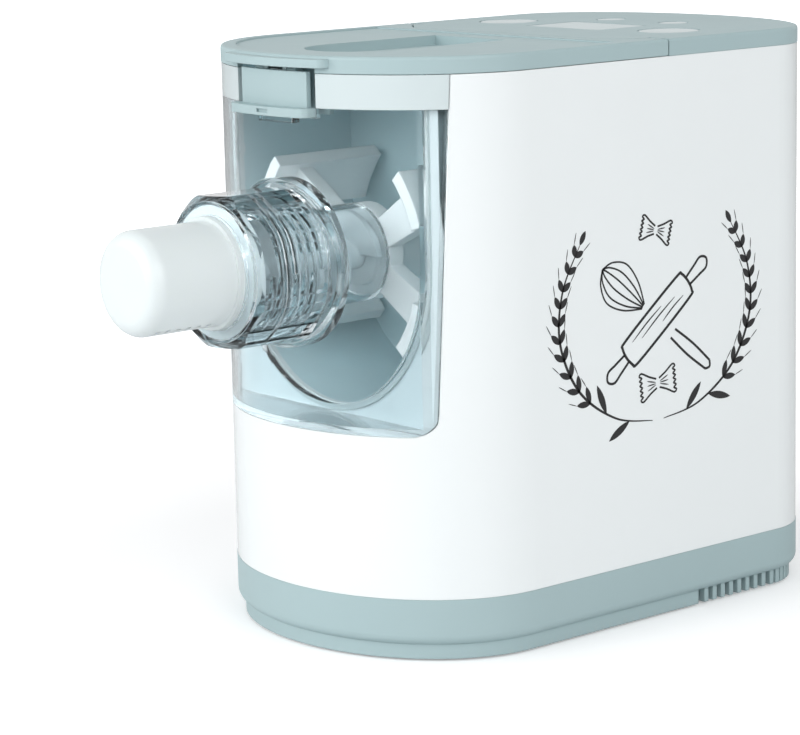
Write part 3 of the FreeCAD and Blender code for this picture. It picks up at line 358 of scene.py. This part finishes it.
class Print:
    """Flat shapes in millimetres about the middle of the print, built up as one thin raised mesh."""

    def __init__(self, name):
        self.name = name
        self.mesh = bmesh.new()

    def vertex(self, point, x):
        return self.mesh.verts.new((x, PRINT_CENTRE[0] + point[0] * MM, PRINT_CENTRE[1] + point[1] * MM))

    def area(self, points):
        front = [self.vertex(p, PRINT_HIGH) for p in points]
        back = [self.vertex(p, PRINT_LOW) for p in points]
        self.mesh.faces.new(front)
        self.mesh.faces.new(back[::-1])
        for i in range(len(points)):
            j = (i + 1) % len(points)
            self.mesh.faces.new((front[i], back[i], back[j], front[j]))

    def stroke(self, points, width, taper=True, steps=8):
        """A pen line through the points, finer at its ends when it tapers."""
        line = curve_points(points, steps)
        last = len(line) - 1
        for i in range(last):
            quad = []
            for k in (i, i + 1):
                along = (line[min(k + 1, last)] - line[max(k - 1, 0)]).normalized()
                share = math.sin(math.pi * (0.08 + 0.84 * k / last)) if taper else 1.0
                half = width / 2 * share
                across = Vector((-along.y, along.x)) * half
                quad.append((line[k] + across, line[k] - across))
            self.area([quad[0][0], quad[0][1], quad[1][1], quad[1][0]])

    def loop(self, points, width):
        self.stroke(list(points) + [points[0]], width, taper=False)

    def leaf(self, base, angle, length, width):
        """A filled pointed grain or leaf."""
        direction = Vector((math.cos(angle), math.sin(angle)))
        across = Vector((-direction.y, direction.x))
        count = 8
        sides = []
        for side in (1, -1):
            for step in range(count):
                t = (step + (side < 0)) / count
                t = t if side > 0 else 1 - (t - 1 / count)
                bulge = math.sin(math.pi * t) ** 0.8 * width / 2 if 0 < t < 1 else 0.0
                sides.append(Vector(base) + direction * (length * t) + across * (bulge * side))
        self.area(sides)

    def finish(self, material):
        bmesh.ops.recalc_face_normals(self.mesh, faces=self.mesh.faces)
        data = bpy.data.meshes.new(self.name)
        self.mesh.to_mesh(data)
        self.mesh.free()
        data.materials.append(material)
        piece = bpy.data.objects.new(self.name, data)
        bpy.context.collection.objects.link(piece)
        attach(piece, "root")


def wheat(name, side, material):
    """One ear of wheat that curves up beside the utensils."""
    sheet = Print(name)
    stem = [(side * x, z) for x, z in ((4, -52), (30, -47), (55, -30), (68, -4), (66, 22), (54, 44))]
    line = curve_points(stem, 12)
    sheet.stroke(stem, 1.5, steps=12)
    for index in range(20, len(line) - 1, 4):
        along = line[index] - line[index - 1]
        heading = math.atan2(along.y, along.x)
        size = 9.5 - 3.5 * (index - 20) / (len(line) - 20)
        for turn in (-0.62, 0.62):
            sheet.leaf(line[index], heading + turn, size, 3.4)
            tip = line[index] + Vector((math.cos(heading + turn), math.sin(heading + turn))) * size
            end = tip + Vector((math.cos(heading + turn * 0.5), math.sin(heading + turn * 0.5))) * 6
            sheet.stroke([tip, (tip + end) / 2, end], 0.5, steps=2)
    sheet.leaf(line[-1], math.atan2(line[-1].y - line[-2].y, line[-1].x - line[-2].x), 8, 3.2)
    for index, turn in ((8, 0.7), (15, -0.7)):
        along = line[index] - line[index - 1]
        sheet.leaf(line[index], math.atan2(along.y, along.x) + turn, 17, 4.0)
    sheet.finish(material)


def turned(points, angle, centre=(0, 0)):
    c, s = math.cos(angle), math.sin(angle)
    return [(centre[0] + x * c - z * s, centre[1] + x * s + z * c) for x, z in points]


def rolling_pin(material):
    sheet = Print("print_rolling_pin")
    angle = math.radians(38)
    body = [
        (-27, -6), (-28, 0), (-27, 6), (-24, 7.5), (0, 7.9), (24, 7.5),
        (27, 6), (28, 0), (27, -6), (24, -7.5), (0, -7.9), (-24, -7.5),
    ]
    sheet.loop(turned(body, angle), 1.5)
    for sign in (-1, 1):
        handle = [(28, 2.4), (36, 3.2), (42, 3.6), (45, 0), (42, -3.6), (36, -3.2), (28, -2.4)]
        sheet.stroke(turned([(sign * x, z) for x, z in handle], angle), 1.3, taper=False)
    for start, end, height in ((-20, 6, 3.6), (-14, 16, 0.4), (2, 21, -3.4)):
        sheet.stroke(turned([(start, height), ((start + end) / 2, height + 0.5), (end, height)], angle), 0.8)
    sheet.finish(material)


def whisk(material):
    sheet = Print("print_whisk")
    angle = math.radians(142)
    grip = [(-46, 2.6), (-30, 3.4), (-14, 2.6)]
    sheet.stroke(turned(grip, angle), 1.3, taper=False)
    sheet.stroke(turned([(x, -z) for x, z in grip], angle), 1.3, taper=False)
    sheet.stroke(turned([(-46, 2.6), (-48, 0), (-46, -2.6)], angle), 1.3, taper=False)
    for bulge in (-11, -6, -1.5, 3.5, 8.5, 12):
        wire = [(13, bulge * 0.12), (24, bulge * 0.75), (36, bulge), (45, bulge * 0.6), (49, 0)]
        sheet.stroke(turned(wire, angle), 0.9, taper=False)
    sheet.finish(material)


def bow_tie(name, centre, angle, size, material):
    """A bow-tie pasta shape with crimped ends."""
    sheet = Print(name)
    half = []
    crimps = 6
    for step in range(crimps * 2 + 1):
        z = -7.5 + 15.0 * step / (crimps * 2)
        half.append((12.0 + (0.9 if step % 2 else -0.9), z))
    for sign in (-1, 1):
        wing = [(1.0, 2.4), (6, 4.6)] + half[::-1] + [(6, -4.6), (1.0, -2.4)]
        wing = [(sign * x * size, z * size) for x, z in wing]
        sheet.stroke(turned(wing, angle, centre), 1.0, taper=False, steps=3)
        for spread in (-2.6, 0, 2.6):
            fold = [(sign * 1.5 * size, spread * 0.25 * size), (sign * 7.5 * size, spread * size)]
            sheet.stroke(turned(fold, angle, centre), 0.7, steps=4)
    sheet.finish(material)


def make_print(materials):
    ink = materials["print_ink"]
    for name, side in (("print_wheat_front", -1), ("print_wheat_rear", 1)):
        wheat(name, side, ink)
    rolling_pin(ink)
    whisk(ink)
    bow_tie("print_bow_low", (0, -33), 0.1, 1.0, ink)
    bow_tie("print_bow_high", (-1, 46), -0.25, 0.85, ink)


# Camera at the photograph's place: metres and degrees
CAMERA_PLACE = (1.12163, -0.96599, 0.41169)
CAMERA_AZIMUTH = 50.22
CAMERA_PITCH = 10.85
CAMERA_ROLL = -1.30
CAMERA_FOCAL = 128.95


def make_camera():
    a, p, r = (math.radians(v) for v in (CAMERA_AZIMUTH, CAMERA_PITCH, CAMERA_ROLL))
    forward = Vector((-math.sin(a) * math.cos(p), math.cos(a) * math.cos(p), -math.sin(p)))
    right = Vector((math.cos(a), math.sin(a), 0))
    up = right.cross(forward)
    tilted_right = right * math.cos(r) + up * math.sin(r)
    tilted_up = up * math.cos(r) - right * math.sin(r)
    data = bpy.data.cameras.new("camera")
    data.lens = CAMERA_FOCAL
    data.sensor_width = 36.0
    data.clip_start = 0.05
    camera = bpy.data.objects.new("camera", data)
    bpy.context.collection.objects.link(camera)
    columns = Matrix((tilted_right, tilted_up, -forward)).transposed()
    camera.matrix_world = Matrix.Translation(CAMERA_PLACE) @ columns.to_4x4()
    bpy.context.scene.camera = camera


bpy.context.scene.view_settings.view_transform = "Standard"
make_camera()
make_world()
make_lamps()
make_floor()
materials = make_materials()
dress_nodes(materials)
make_print(materials)
